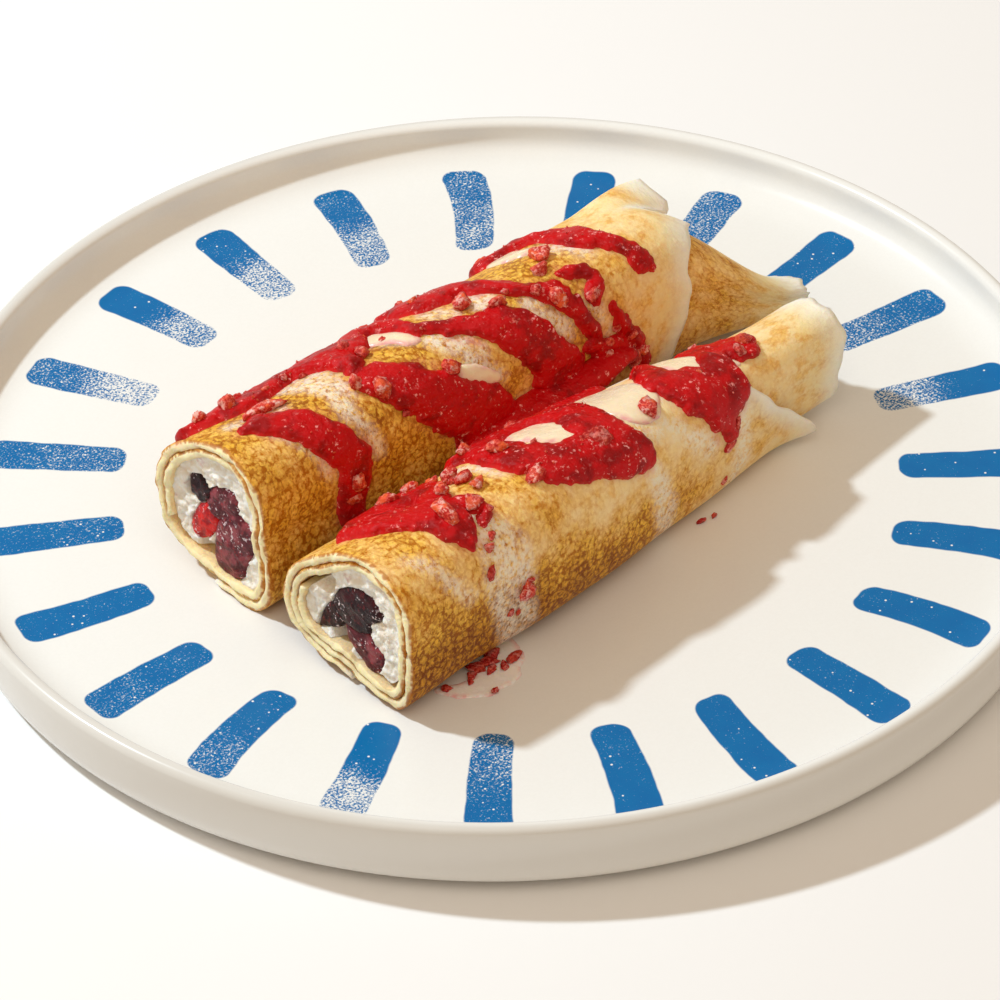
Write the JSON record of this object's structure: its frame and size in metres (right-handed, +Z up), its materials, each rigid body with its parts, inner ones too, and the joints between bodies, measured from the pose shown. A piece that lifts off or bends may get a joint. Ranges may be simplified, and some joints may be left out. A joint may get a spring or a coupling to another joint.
{
  "type": "rolled crepe",
  "caption": "Rolled crepes cut across at one end, filled with cream and cooked cherries, with thick berry sauce on top, lying on a round dinner plate with a low upright rim.",
  "frame": {"origin": "middle of the plate's underside, on the surface it stands on", "axes": "+Z up; the rolls lie along X with their cut ends at -X; the roll nearer the viewer is at -Y"},
  "size_m": [0.2704, 0.2704, 0.0583],
  "materials": {
    "glazed_stoneware": "smooth satin-gloss glaze with a ring of blue brush strokes",
    "crepe": "soft fried batter with a brown lace pattern",
    "cream": "soft crumbly ricotta cream",
    "cherry": "wet and glossy",
    "sauce": "thick wet glossy berry sauce",
    "glaze": "thin milky glaze"
  },
  "bodies": {
    "root": {"plate": "glazed_stoneware", "crepe_front": "crepe", "crepe_rear": "crepe", "cream_front": "cream", "cream_rear": "cream", "cherry_front_1": "cherry", "cherry_front_2": "cherry", "cherry_front_3": "cherry", "cherry_rear_1": "cherry", "cherry_rear_2": "cherry", "cherry_rear_3": "cherry", "cherry_rear_4": "cherry", "cherries_front": "cherry", "cherries_rear": "cherry"}
  },
  "joints": []
}
